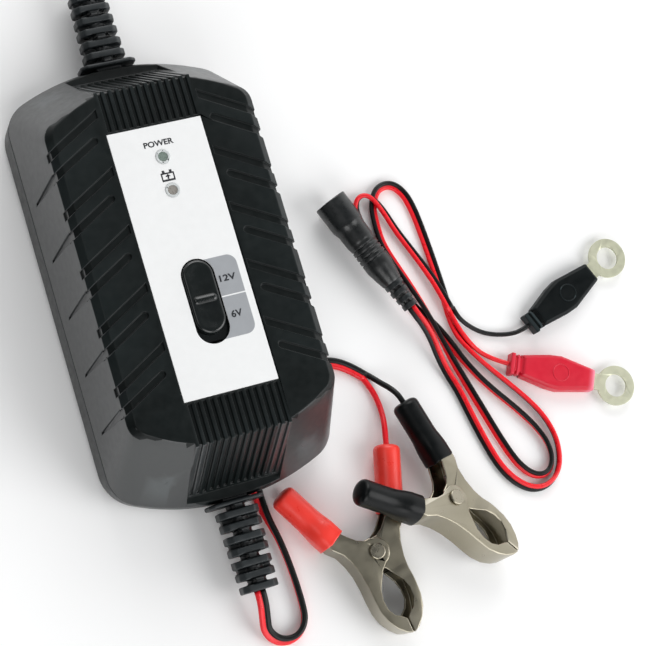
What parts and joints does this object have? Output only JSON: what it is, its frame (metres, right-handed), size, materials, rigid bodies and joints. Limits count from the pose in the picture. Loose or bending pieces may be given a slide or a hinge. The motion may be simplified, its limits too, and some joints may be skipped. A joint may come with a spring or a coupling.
{
  "type": "car battery charger",
  "caption": "Ribbed plastic battery charger with status lamps, a voltage slide knob, a clip lead with two spring clips, and a plug-in lead with booted ring terminals.",
  "frame": {"origin": "middle of the case's footprint, on the surface it stands on", "axes": "+Z out of the front face, +Y along the case towards the mains cable's strain relief, +X to the right when the front label is read with +Y up"},
  "size_m": [0.2153, 0.2486, 0.0453],
  "materials": {
    "cover_plastic": "fine satin",
    "tub_plastic": "fine satin",
    "screw_steel": "zinc plated",
    "label_white": "printed film",
    "bezel_grey": "smooth",
    "power_lens": "frosted, unlit",
    "charge_lens": "frosted, unlit",
    "knob_plastic": "gloss",
    "switch_plastic": "moulded",
    "board_green": "solder mask",
    "core_steel": "varnished laminations",
    "winding_tape": "insulating tape",
    "sink_aluminium": "sheet",
    "capacitor_sleeve": "shrink sleeve",
    "fuse_glass": "clear",
    "led_plastic": "diffused",
    "relief_rubber": "moulded",
    "twin_flex": "red and black twin, satin",
    "wire_black": "satin",
    "wire_red": "satin",
    "clip_metal": "nickel plated, satin",
    "rivet_steel": "nickel plated",
    "spring_steel": "drawn wire",
    "sleeve_red": "soft dipped vinyl",
    "sleeve_black": "soft dipped vinyl",
    "connector_plastic": "satin",
    "contact_brass": "bare",
    "boot_black": "moulded",
    "boot_red": "moulded",
    "ring_metal": "tin plated"
  },
  "bodies": {
    "charger": {"black_clip_fixed_jaw": "clip_metal", "black_clip_fixed_sleeve": "sleeve_black", "black_clip_rivet": "rivet_steel", "black_clip_spring": "spring_steel", "board_screws": "screw_steel", "bottom_cover": "tub_plastic", "case_screws": "screw_steel", "charge_lens": "charge_lens", "circuit_board": "board_green", "front_label": "label_white", "fuse": "fuse_glass", "heatsink": "sink_aluminium", "indicator_leds": "led_plastic", "lamp_bezels": "bezel_grey", "mains_capacitor": "capacitor_sleeve", "mains_strain_relief": "relief_rubber", "output_black_wire": "wire_black", "output_capacitors": "capacitor_sleeve", "output_red_wire": "wire_red", "output_strain_relief": "relief_rubber", "output_twin_lead": "twin_flex", "power_lens": "power_lens", "red_clip_fixed_jaw": "clip_metal", "red_clip_fixed_sleeve": "sleeve_red", "red_clip_rivet": "rivet_steel", "red_clip_spring": "spring_steel", "slide_switch": "switch_plastic", "top_cover": "cover_plastic", "transformer_core": "core_steel", "transformer_winding": "winding_tape"},
    "knob": {"voltage_knob": "knob_plastic"},
    "black_moving": {"black_clip_moving_jaw": "clip_metal", "black_clip_moving_sleeve": "sleeve_black"},
    "red_moving": {"red_clip_moving_jaw": "clip_metal", "red_clip_moving_sleeve": "sleeve_red"},
    "ring_lead": {"black_boot": "boot_black", "black_ring_terminal": "ring_metal", "connector_contacts": "contact_brass", "connector_shell": "connector_plastic", "connector_strain_relief": "connector_plastic", "red_boot": "boot_red", "red_ring_terminal": "ring_metal", "ring_lead_black_wire": "wire_black", "ring_lead_loops": "twin_flex", "ring_lead_red_wire": "wire_red", "ring_lead_start": "twin_flex"}
  },
  "joints": [
    {"name": "knob_slide", "type": "slide", "parent": "charger", "child": "knob", "axis": [0, -1, 0], "range_m": [0, 0.003]},
    {"name": "black_clip_hinge", "type": "hinge", "parent": "charger", "child": "black_moving", "pos_m": [0.07353, -0.09925, 0.01077], "axis": [-0.351, -0.1044, -0.9305], "range_deg": [0, 20], "stiffness_Nm_per_rad": 0.25, "springref_deg": -28.65},
    {"name": "red_clip_hinge", "type": "hinge", "parent": "charger", "child": "red_moving", "pos_m": [0.04357, -0.10862, 0.00535], "axis": [0, 0, -1], "range_deg": [0, 16], "stiffness_Nm_per_rad": 0.25, "springref_deg": -28.65},
    {"name": "ring_lead_lift", "type": "slide", "parent": "charger", "child": "ring_lead", "axis": [0, 0, 1], "range_m": [0, 0.1]}
  ]
}
